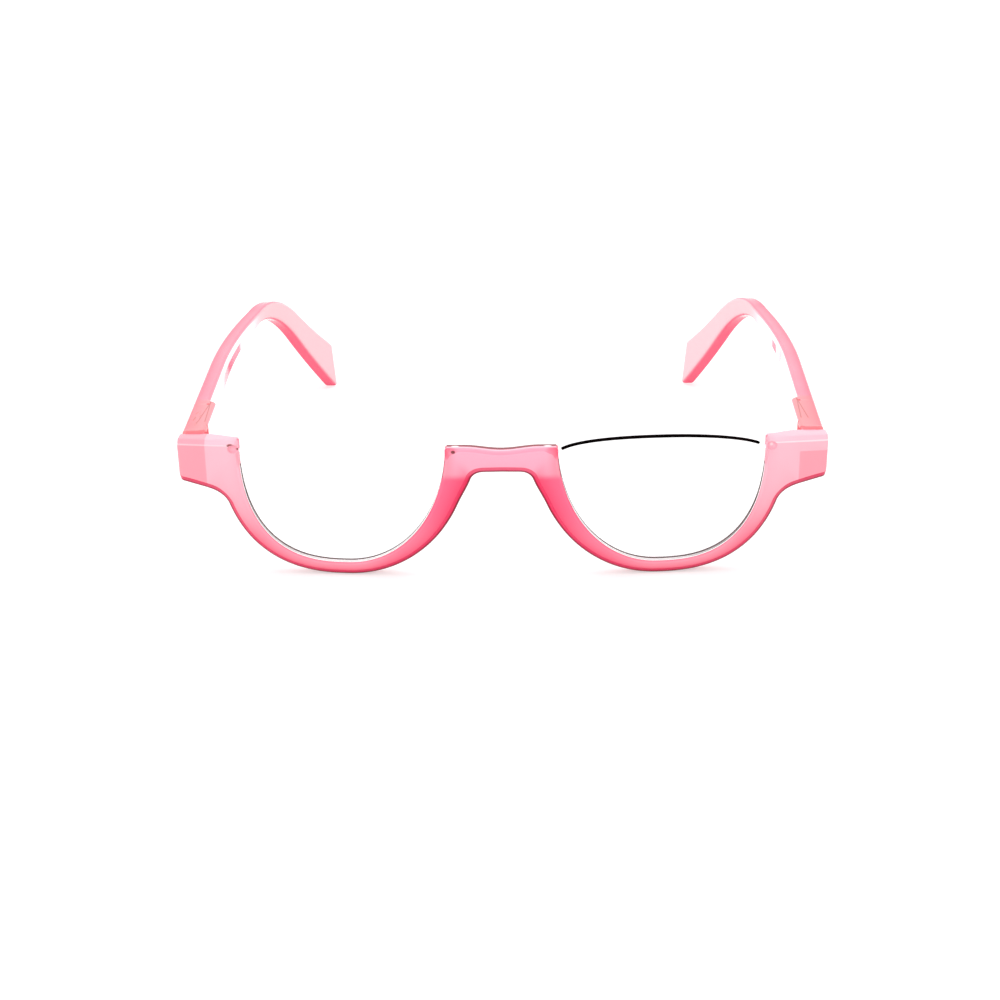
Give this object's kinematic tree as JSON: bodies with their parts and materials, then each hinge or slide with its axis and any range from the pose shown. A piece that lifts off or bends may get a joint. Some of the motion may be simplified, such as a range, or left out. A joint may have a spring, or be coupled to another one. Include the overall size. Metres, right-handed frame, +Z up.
{
  "type": "half moon reading glasses",
  "caption": "Half moon under-rim reading glasses with a moulded translucent front, clear lenses open at the top and folding temples on spring hinges.",
  "frame": {"origin": "on the surface the glasses stand on, halfway across the width and halfway along the depth, temples open", "axes": "+Y from the front towards the temple tips, +Z up, +X towards the wearer's left"},
  "size_m": [0.1382, 0.1376, 0.0325],
  "materials": {
    "pink_plastic": "translucent, polished",
    "clear_lens": "clear",
    "hinge_steel": "satin",
    "spring_steel": "bright wire",
    "bush_brass": "turned"
  },
  "bodies": {
    "front": {"front_frame": "pink_plastic", "lens_left": "clear_lens", "lens_right": "clear_lens", "hinge_screw_left": "hinge_steel", "hinge_screw_right": "hinge_steel"},
    "tongue_left": {"hinge_tongue_left": "hinge_steel", "hinge_spring_left": "spring_steel", "spring_stop_left": "bush_brass"},
    "temple_arm_left": {"temple_left": "pink_plastic", "spring_box_left": "hinge_steel", "box_pin_left": "hinge_steel", "guide_bush_left": "bush_brass"},
    "tongue_right": {"hinge_tongue_right": "hinge_steel", "hinge_spring_right": "spring_steel", "spring_stop_right": "bush_brass"},
    "temple_arm_right": {"temple_right": "pink_plastic", "spring_box_right": "hinge_steel", "box_pin_right": "hinge_steel", "guide_bush_right": "bush_brass"}
  },
  "joints": [
    {"name": "fold_left", "type": "hinge", "parent": "front", "child": "tongue_left", "pos_m": [0.0646, -0.05797, 0.0254], "axis": [0, 0, 1], "range_deg": [-10, 85]},
    {"name": "fold_right", "type": "hinge", "parent": "front", "child": "tongue_right", "pos_m": [-0.0646, -0.05797, 0.0254], "axis": [0, 0, -1], "range_deg": [-10, 70]},
    {"name": "flex_left", "type": "slide", "parent": "tongue_left", "child": "temple_arm_left", "axis": [0, 1, 0], "range_m": [0, 0.0008], "stiffness_N_per_m": 3000, "springref_m": -0.001, "deforming": ["hinge_spring_left"]},
    {"name": "flex_right", "type": "slide", "parent": "tongue_right", "child": "temple_arm_right", "axis": [0, 1, 0], "range_m": [0, 0.0008], "stiffness_N_per_m": 3000, "springref_m": -0.001, "deforming": ["hinge_spring_right"]}
  ]
}
